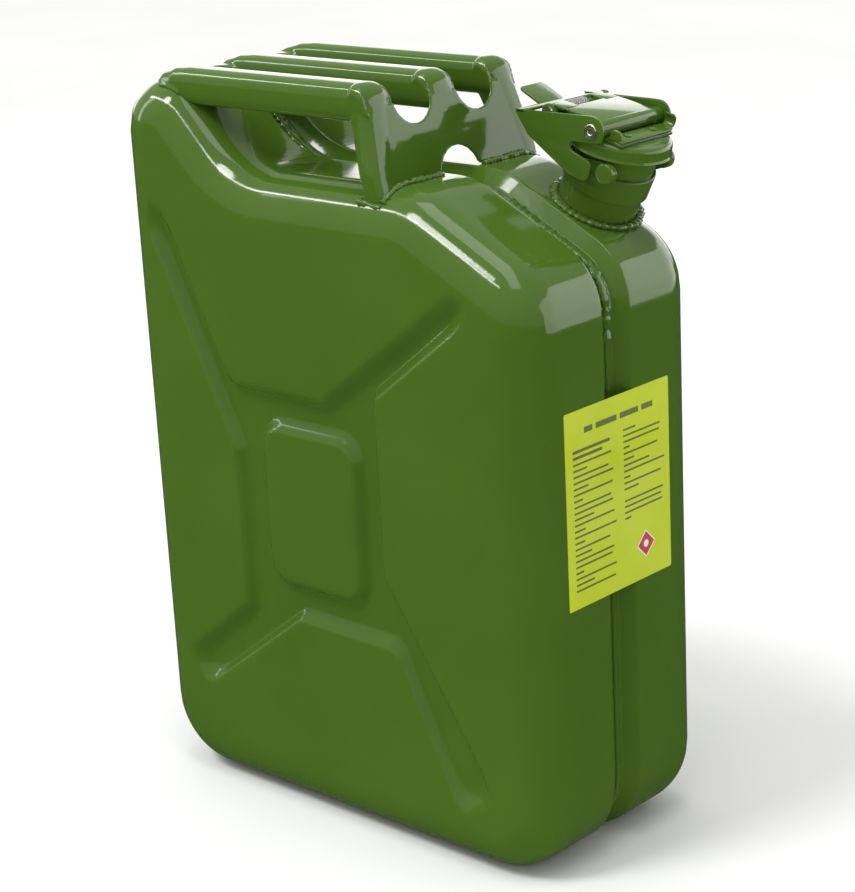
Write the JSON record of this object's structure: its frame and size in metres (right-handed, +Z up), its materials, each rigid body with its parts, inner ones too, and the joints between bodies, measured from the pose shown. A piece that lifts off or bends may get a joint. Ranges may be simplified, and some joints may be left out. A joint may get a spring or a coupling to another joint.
{
  "type": "jerry can",
  "caption": "Pressed steel fuel can with parallel carrying bars, a seam-welded body and an angled neck closed by a hinged, cam-locked lid.",
  "frame": {"origin": "on the floor under the middle of the can's body, where the length and the thickness are both halved", "axes": "+X forward to the narrow face under the neck, +Y to the half that carries the neck, +Z up"},
  "size_m": [0.3478, 0.165, 0.484],
  "materials": {
    "green_paint": "gloss",
    "bright_steel": "bright zinc plate",
    "spring_steel": "drawn wire",
    "black_rubber": "matt",
    "yellow_sticker": "laminated, semi-gloss"
  },
  "bodies": {
    "can": {"left_half_shell": "green_paint", "right_half_shell": "green_paint", "seam_weld": "green_paint", "handle_bar_left": "green_paint", "handle_bar_centre": "green_paint", "handle_bar_right": "green_paint", "handle_front_plate": "green_paint", "handle_rear_plate": "green_paint", "handle_front_weld": "green_paint", "handle_rear_weld": "green_paint", "neck_tube": "green_paint", "neck_weld": "green_paint", "neck_bracket": "green_paint", "hinge_pin": "bright_steel", "breather_tube": "green_paint", "breather_clip": "green_paint", "warning_label": "yellow_sticker"},
    "lid": {"lid_cap": "green_paint", "lid_gasket": "black_rubber", "gasket_retainer": "green_paint", "lid_carrier": "green_paint", "lid_strap": "green_paint", "lid_rivet_left": "green_paint", "lid_rivet_right": "green_paint", "hinge_spring": "spring_steel"},
    "lever": {"cam_lever": "green_paint", "lever_pin": "bright_steel"}
  },
  "joints": [
    {"name": "lid_hinge", "type": "hinge", "parent": "can", "child": "lid", "pos_m": [0.111, 0.045, 0.46], "axis": [0, -1, 0], "range_deg": [0, 80], "stiffness_Nm_per_rad": 0.02, "springref_deg": -17.19},
    {"name": "cam_lever_pivot", "type": "hinge", "parent": "lid", "child": "lever", "pos_m": [0.1474, 0.045, 0.4525], "axis": [0, 1, 0], "range_deg": [0, 100]}
  ]
}
